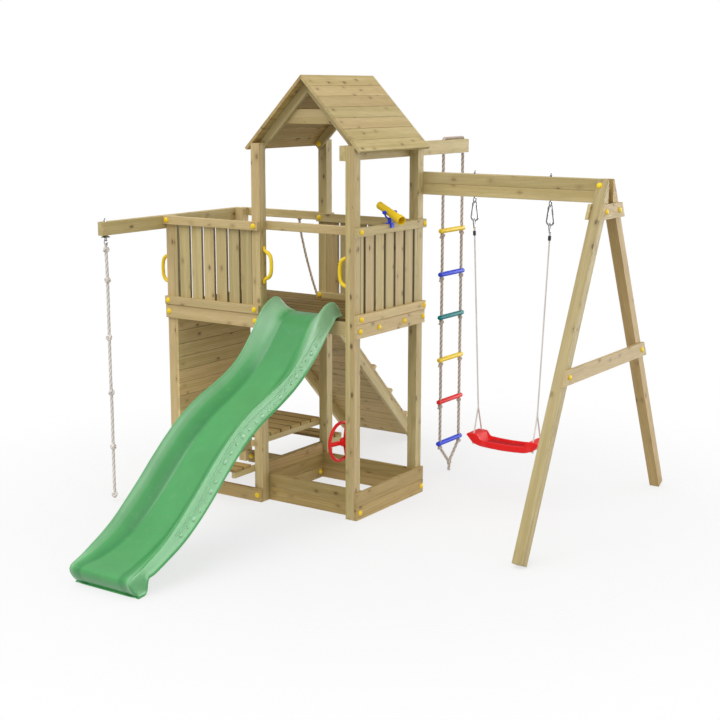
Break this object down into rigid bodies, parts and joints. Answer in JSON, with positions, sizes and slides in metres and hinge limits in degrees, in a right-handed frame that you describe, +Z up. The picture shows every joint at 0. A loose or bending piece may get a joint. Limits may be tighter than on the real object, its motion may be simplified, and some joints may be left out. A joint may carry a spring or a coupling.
{
  "type": "wooden climbing frame",
  "caption": "Wooden climbing frame: roofed tower and side platform with a wavy slide, swing, rope ladder, knotted rope, ramp, table with benches, sandbox and play fittings.",
  "frame": {"origin": "middle of the front right post's foot, on the ground", "axes": "+X along the swing beam away from the tower, +Y from the slide side to the ramp side, +Z up"},
  "size_m": [3.0568, 4.1006, 2.885],
  "materials": {
    "pine": "pressure-treated, planed, with knots",
    "slide_green": "moulded, glossy",
    "plastic_yellow": "moulded, satin",
    "plastic_red": "moulded, satin",
    "plastic_blue": "moulded, satin",
    "plastic_teal": "moulded, satin",
    "plastic_black": "moulded, matt",
    "rope": "laid fibre",
    "zinc_steel": "zinc plated"
  },
  "bodies": {
    "frame": {"post_front_right": "pine", "post_rear_right": "pine", "post_front_middle": "pine", "post_rear_middle": "pine", "post_front_left": "pine", "post_rear_left": "pine", "roof_boards_left": "pine", "roof_boards_right": "pine", "rafters": "pine", "collar_ties": "pine", "platform_beams": "pine", "floor_joists": "pine", "floor_planks": "pine", "rails_front": "pine", "rails_right": "pine", "rails_rear": "pine", "slats_front": "pine", "slats_right": "pine", "slats_rear": "pine", "cross_rails": "pine", "wall_planks": "pine", "ground_boards": "pine", "sandbox_boards": "pine", "table_slats": "pine", "bench_slats": "pine", "seat_bearers": "pine", "ramp_stringers": "pine", "ramp_planks": "pine", "ramp_cleats": "pine", "ladder_beam": "pine", "rope_beam": "pine", "swing_beam": "pine", "swing_leg_front": "pine", "swing_leg_rear": "pine", "leg_ties": "pine", "slide": "slide_green", "bolt_caps": "plastic_yellow", "grab_handles": "plastic_yellow", "swing_eyebolts": "zinc_steel", "rope_eyebolt": "zinc_steel", "rope_hook": "plastic_black", "ladder_rope_bridge": "rope", "wheel_base": "plastic_red", "telescope_base": "plastic_blue", "ramp_rope": "rope"},
    "swing": {"swing_snap_hooks": "zinc_steel", "swing_ropes": "rope", "swing_ferrules": "plastic_black", "swing_seat": "plastic_red"},
    "ladder": {"ladder_ropes": "rope", "rungs_yellow": "plastic_yellow", "rungs_blue": "plastic_blue", "rung_teal": "plastic_teal", "rung_red": "plastic_red"},
    "shackle": {"rope_shackle": "zinc_steel"},
    "hanging_rope": {"rope_loop": "rope", "climbing_rope": "rope"},
    "scope_fork": {"telescope_fork": "plastic_blue"},
    "scope_tube": {"telescope_tube": "plastic_yellow"},
    "wheel": {"steering_wheel": "plastic_red"}
  },
  "joints": [
    {"name": "swing_hinge", "type": "hinge", "parent": "frame", "child": "swing", "pos_m": [0.696, 0.832, 2.0643], "axis": [1, 0, 0], "range_deg": [-45, 45]},
    {"name": "ladder_hinge", "type": "hinge", "parent": "frame", "child": "ladder", "pos_m": [-0.0575, 1.35, 2.3407], "axis": [0, 1, 0], "range_deg": [-10, 10]},
    {"name": "shackle_hinge", "type": "hinge", "parent": "frame", "child": "shackle", "pos_m": [-1.5775, -0.605, 1.8093], "axis": [1, 0, 0], "range_deg": [-15, 15]},
    {"name": "rope_hinge", "type": "hinge", "parent": "shackle", "child": "hanging_rope", "pos_m": [-1.5775, -0.605, 1.7913], "axis": [0, 1, 0], "range_deg": [-15, 15]},
    {"name": "scope_pan", "type": "hinge", "parent": "frame", "child": "scope_fork", "pos_m": [0.049, 0.355, 1.931], "axis": [0, 0, 1], "range_deg": [-35, 35]},
    {"name": "scope_tilt", "type": "hinge", "parent": "scope_fork", "child": "scope_tube", "pos_m": [0.049, 0.355, 2.005], "axis": [0.3502, 0.9367, 0], "range_deg": [-30, 5]},
    {"name": "wheel_spin", "type": "hinge", "parent": "frame", "child": "wheel", "pos_m": [-0.095, 0, 0.514], "axis": [1, 0, 0], "continuous": true}
  ]
}
